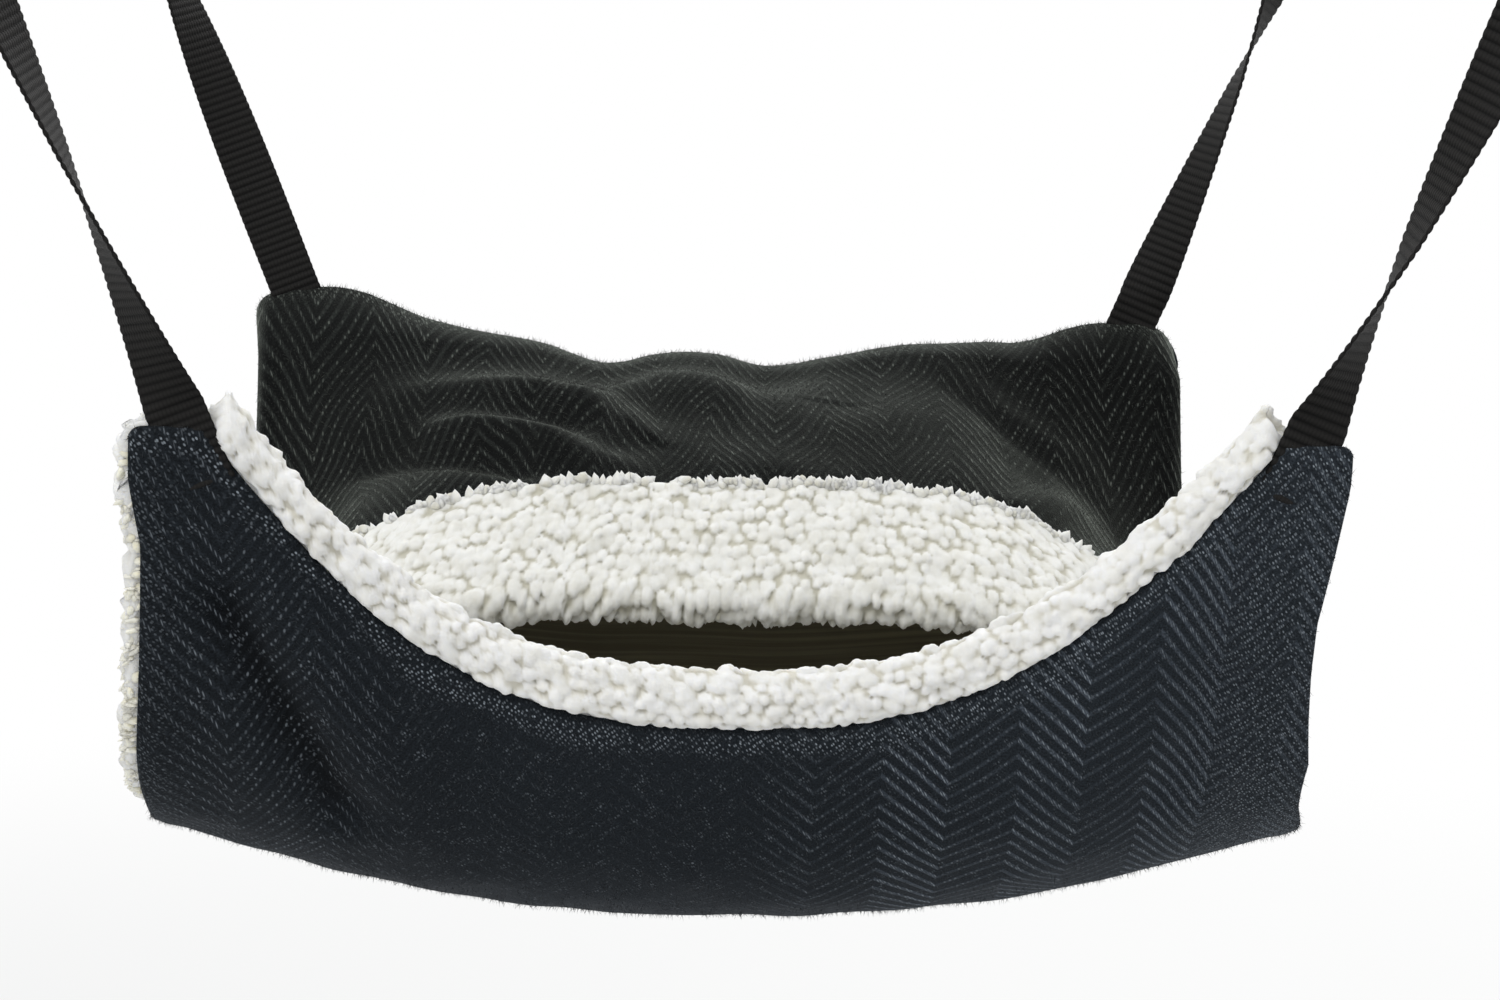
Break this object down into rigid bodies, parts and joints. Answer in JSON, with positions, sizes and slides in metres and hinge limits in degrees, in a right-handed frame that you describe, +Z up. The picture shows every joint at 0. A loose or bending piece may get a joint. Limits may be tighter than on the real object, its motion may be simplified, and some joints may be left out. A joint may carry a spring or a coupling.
{
  "type": "pet hammock",
  "caption": "Small hanging pet hammock: U-shaped sling with a covered pocket, rolled fleece rim, webbing straps at the corners and swivel bolt snaps.",
  "frame": {"origin": "middle of the rectangle between the inner seats of the snap hooks, level with them", "axes": "+Z up; the open front of the pocket and its low rim face -Y; +X is to the right seen from the front"},
  "size_m": [0.5606, 0.3215, 0.4244],
  "materials": {
    "herringbone_cloth": "heavy two-tone herringbone cloth, blue black",
    "sherpa_pile": "cream sherpa fleece with curled pile",
    "pocket_cloth": "smooth dark olive lining cloth",
    "webbing": "black ribbed polypropylene webbing",
    "nickel_plate": "nickel plated die-cast zinc and wire, satin",
    "spring_steel": "bright drawn spring wire"
  },
  "bodies": {
    "root": {"sling_shell": "herringbone_cloth", "rim_lining": "sherpa_pile", "pocket_floor": "pocket_cloth", "cover_shell": "herringbone_cloth", "cover_lining": "sherpa_pile", "strap_tail_front_left": "webbing", "strap_tail_front_right": "webbing", "strap_tail_back_left": "webbing", "strap_tail_back_right": "webbing"},
    "strap_front_left": {"strap_front_left": "webbing"},
    "eye_front_left": {"swivel_eye_front_left": "nickel_plate"},
    "snap_front_left": {"snap_body_front_left": "nickel_plate", "bolt_spring_front_left": "spring_steel"},
    "bolt_front_left": {"snap_bolt_front_left": "nickel_plate"},
    "strap_front_right": {"strap_front_right": "webbing"},
    "eye_front_right": {"swivel_eye_front_right": "nickel_plate"},
    "snap_front_right": {"snap_body_front_right": "nickel_plate", "bolt_spring_front_right": "spring_steel"},
    "bolt_front_right": {"snap_bolt_front_right": "nickel_plate"},
    "strap_back_left": {"strap_back_left": "webbing"},
    "eye_back_left": {"swivel_eye_back_left": "nickel_plate"},
    "snap_back_left": {"snap_body_back_left": "nickel_plate", "bolt_spring_back_left": "spring_steel"},
    "bolt_back_left": {"snap_bolt_back_left": "nickel_plate"},
    "strap_back_right": {"strap_back_right": "webbing"},
    "eye_back_right": {"swivel_eye_back_right": "nickel_plate"},
    "snap_back_right": {"snap_body_back_right": "nickel_plate", "bolt_spring_back_right": "spring_steel"},
    "bolt_back_right": {"snap_bolt_back_right": "nickel_plate"}
  },
  "joints": [
    {"name": "strap_swing_front_left", "type": "hinge", "parent": "root", "child": "strap_front_left", "pos_m": [-0.188, -0.13215, -0.2149], "axis": [0.9304, 0, 0.3665], "range_deg": [-30, 75]},
    {"name": "eye_hinge_front_left", "type": "hinge", "parent": "strap_front_left", "child": "eye_front_left", "pos_m": [-0.25372, -0.14784, -0.04806], "axis": [-0.466, -0.8448, -0.263], "range_deg": [-80, 80]},
    {"name": "hook_swivel_front_left", "type": "hinge", "parent": "eye_front_left", "child": "snap_front_left", "pos_m": [-0.26038, -0.14943, -0.03114], "axis": [-0.3651, -0.0872, 0.9269], "continuous": true},
    {"name": "bolt_slide_front_left", "type": "slide", "parent": "snap_front_left", "child": "bolt_front_left", "axis": [0.3651, 0.0872, -0.9269], "range_m": [0, 0.0075], "stiffness_N_per_m": 120, "springref_m": -0.003, "deforming": ["bolt_spring_front_left"]},
    {"name": "strap_swing_front_right", "type": "hinge", "parent": "root", "child": "strap_front_right", "pos_m": [0.188, -0.13215, -0.2149], "axis": [0.9304, 0, -0.3665], "range_deg": [-30, 75]},
    {"name": "eye_hinge_front_right", "type": "hinge", "parent": "strap_front_right", "child": "eye_front_right", "pos_m": [0.25372, -0.14784, -0.04806], "axis": [-0.8634, 0.3407, 0.3721], "range_deg": [-80, 80]},
    {"name": "hook_swivel_front_right", "type": "hinge", "parent": "eye_front_right", "child": "snap_front_right", "pos_m": [0.26038, -0.14943, -0.03114], "axis": [0.3651, -0.0872, 0.9269], "continuous": true},
    {"name": "bolt_slide_front_right", "type": "slide", "parent": "snap_front_right", "child": "bolt_front_right", "axis": [-0.3651, 0.0872, -0.9269], "range_m": [0, 0.0075], "stiffness_N_per_m": 120, "springref_m": -0.003, "deforming": ["bolt_spring_front_right"]},
    {"name": "strap_swing_back_left", "type": "hinge", "parent": "root", "child": "strap_back_left", "pos_m": [-0.175, 0.13215, -0.2149], "axis": [-0.9304, 0, -0.3665], "range_deg": [-30, 75]},
    {"name": "eye_hinge_back_left", "type": "hinge", "parent": "strap_back_left", "child": "eye_back_left", "pos_m": [-0.24072, 0.14784, -0.04806], "axis": [0.0644, 0.9956, -0.0683], "range_deg": [-80, 80]},
    {"name": "hook_swivel_back_left", "type": "hinge", "parent": "eye_back_left", "child": "snap_back_left", "pos_m": [-0.24738, 0.14943, -0.03114], "axis": [-0.3651, 0.0872, 0.9269], "continuous": true},
    {"name": "bolt_slide_back_left", "type": "slide", "parent": "snap_back_left", "child": "bolt_back_left", "axis": [0.3651, -0.0872, -0.9269], "range_m": [0, 0.0075], "stiffness_N_per_m": 120, "springref_m": -0.003, "deforming": ["bolt_spring_back_left"]},
    {"name": "strap_swing_back_right", "type": "hinge", "parent": "root", "child": "strap_back_right", "pos_m": [0.175, 0.13215, -0.2149], "axis": [-0.9304, 0, 0.3665], "range_deg": [-30, 75]},
    {"name": "eye_hinge_back_right", "type": "hinge", "parent": "strap_back_right", "child": "eye_back_right", "pos_m": [0.24072, 0.14784, -0.04806], "axis": [-0.7535, -0.5571, 0.3492], "range_deg": [-80, 80]},
    {"name": "hook_swivel_back_right", "type": "hinge", "parent": "eye_back_right", "child": "snap_back_right", "pos_m": [0.24738, 0.14943, -0.03114], "axis": [0.3651, 0.0872, 0.9269], "continuous": true},
    {"name": "bolt_slide_back_right", "type": "slide", "parent": "snap_back_right", "child": "bolt_back_right", "axis": [-0.3651, -0.0872, -0.9269], "range_m": [0, 0.0075], "stiffness_N_per_m": 120, "springref_m": -0.003, "deforming": ["bolt_spring_back_right"]}
  ]
}
